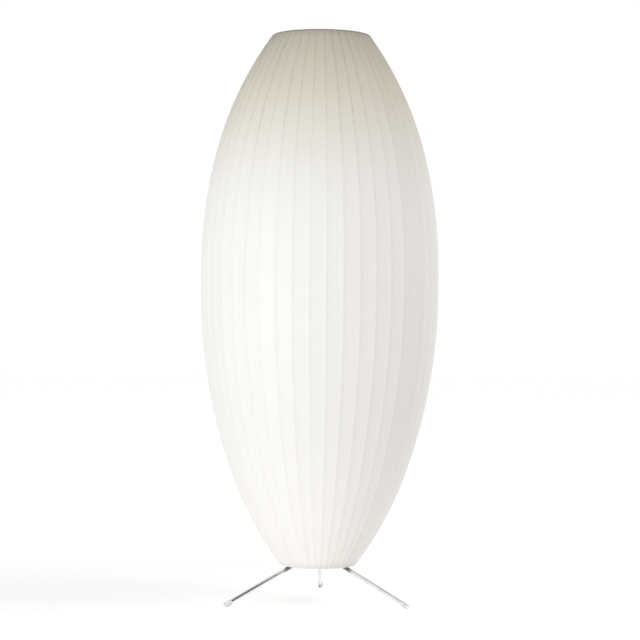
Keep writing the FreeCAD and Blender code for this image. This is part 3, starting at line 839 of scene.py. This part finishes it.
# %% Give every piece its finish
def paint(piece, finish):
    if piece.material_slots:
        for slot in piece.material_slots:
            slot.material = finish
    else:
        piece.data.materials.append(finish)


for subpart in frame["record"]["subparts"]:
    paint(frame["nodes"][subpart["node"]], finish_of[subpart["material_slot"]])
for piece, slot_name in made_here:
    paint(piece, finish_of[slot_name])
skin.material_slots[inner_slot].material = inner_film

# %% [markdown]
# ## The studio
# The lamp is shown on a white ground. A soft key light stands low at the front left, a wide one high on
# the right, and a faint light comes from all round. More light would whiten the floor too, but would wash
# out the film. So the floor has a light of its own, for the eye and for reflections only. Near the lamp
# it is weaker, so the soft shadow shows.

# %% Floor and surround
def seen_rays(tree):
    """One for rays from the eye, from mirrors and through glass, and nothing for soft bounced light."""
    path = add(tree, "LightPath")
    seen = sums(tree, "ADD", path.outputs["Is Camera Ray"], path.outputs["Is Glossy Ray"])
    return sums(tree, "MINIMUM", sums(tree, "ADD", seen, path.outputs["Is Transmission Ray"]), 1.0)


bpy.ops.object.select_all(action="DESELECT")
bpy.ops.mesh.primitive_plane_add(size=30)
floor = bpy.context.object
floor.name = "studio_floor"
ground, tree, shader = new_finish("white_ground")
shader.inputs["Base Color"].default_value = colour(0.80, 0.80, 0.80)
shader.inputs["Roughness"].default_value = 0.9
shader.inputs["Specular IOR Level"].default_value = 0.0
shader.inputs["Emission Color"].default_value = colour(1, 1, 1)
near_lamp = 0.25
away_from_lamp = 1.6
from_lamp = from_axis(tree, add(tree, "TexCoord").outputs["Object"])
weak_light = 0.62
full_light = 0.75
own_light = ramp(tree, from_lamp, near_lamp, away_from_lamp, weak_light, full_light)
feed(tree, shader.inputs["Emission Strength"], sums(tree, "MULTIPLY", seen_rays(tree), own_light))
paint(floor, ground)

world = bpy.data.worlds.new("studio")
bpy.context.scene.world = world
world.use_nodes = True
sky = world.node_tree.nodes["Background"]
sky.inputs["Color"].default_value = colour(1, 1, 1)
soft_light = 0.305
tree = world.node_tree
feed(tree, sky.inputs["Strength"], ramp(tree, seen_rays(tree), 0.0, 1.0, soft_light, 1.0))
print("soft light from all round:", soft_light)


# %% Lamps
def soft_box(name, place, aim, size, power, tint=(1, 1, 1)):
    """A square lamp of a size in metres and a power in watts, turned to face its aim."""
    bpy.ops.object.light_add(type="AREA", location=place)
    box = bpy.context.object
    box.name = name
    box.data.size = size
    box.data.energy = power
    box.data.color = tint
    box.rotation_euler = (Vector(aim) - Vector(place)).to_track_quat("-Z", "Y").to_euler()


soft_box("key_light", (-1.75, -2.4, 0.30), (0, 0, 0.2), 0.6, 33, (0.95, 0.98, 1.0))
soft_box("side_light", (2.6, -0.5, 2.7), (0, 0, 0.6), 1.5, 23)

# %% [markdown]
# ## Dark cards
# Bright plating in a white room looks flat, so it needs something dark to mirror. A photographer stands
# black cards beside the lamp. These are out of the camera's sight and throw no shadow, so only mirrors
# show them.

# %% Dark cards for the plating
black, tree, shader = new_finish("black_card")
shader.inputs["Base Color"].default_value = colour(0.02, 0.02, 0.02)


def dark_card(name, place, size):
    """A square card that faces the lamp's foot."""
    bpy.ops.object.select_all(action="DESELECT")
    bpy.ops.mesh.primitive_plane_add(size=size)
    card = bpy.context.object
    card.name = name
    card.location = place
    card.rotation_euler = (-card.location).to_track_quat("Z", "Y").to_euler()
    bpy.ops.object.transform_apply()
    card.visible_camera = card.visible_diffuse = card.visible_shadow = card.visible_transmission = False
    paint(card, black)
    print(name, "at", place)


dark_card("front_card", (1.7, -1.8, 1.1), 1.9)
dark_card("upper_card", (0.63, -1.18, 2.0), 1.7)
dark_card("back_card", (0.0, 1.9, 1.9), 2.8)

# %% [markdown]
# ## The camera
# It looks level at the middle of the lamp, from the front and from over three metres away, as in the
# photo. A nearer camera with a wider lens would bend the lines of the rim and the hem more.

# %% Camera
sensor_width = 36.0
image_width = 640
view_length = 2064.0
camera_height = 0.4666
camera_distance = 3.425
camera_aside = 0.0008
camera_roll = math.radians(-0.36)
bpy.ops.object.camera_add(location=(camera_aside, -camera_distance, camera_height),
                          rotation=(math.pi / 2, camera_roll, 0))
camera = bpy.context.object
camera.data.sensor_width = sensor_width
camera.data.lens = view_length * sensor_width / image_width
bpy.context.scene.camera = camera
bpy.context.scene.view_settings.view_transform = "Standard"
print("lens:", round(camera.data.lens, 1), "mm")
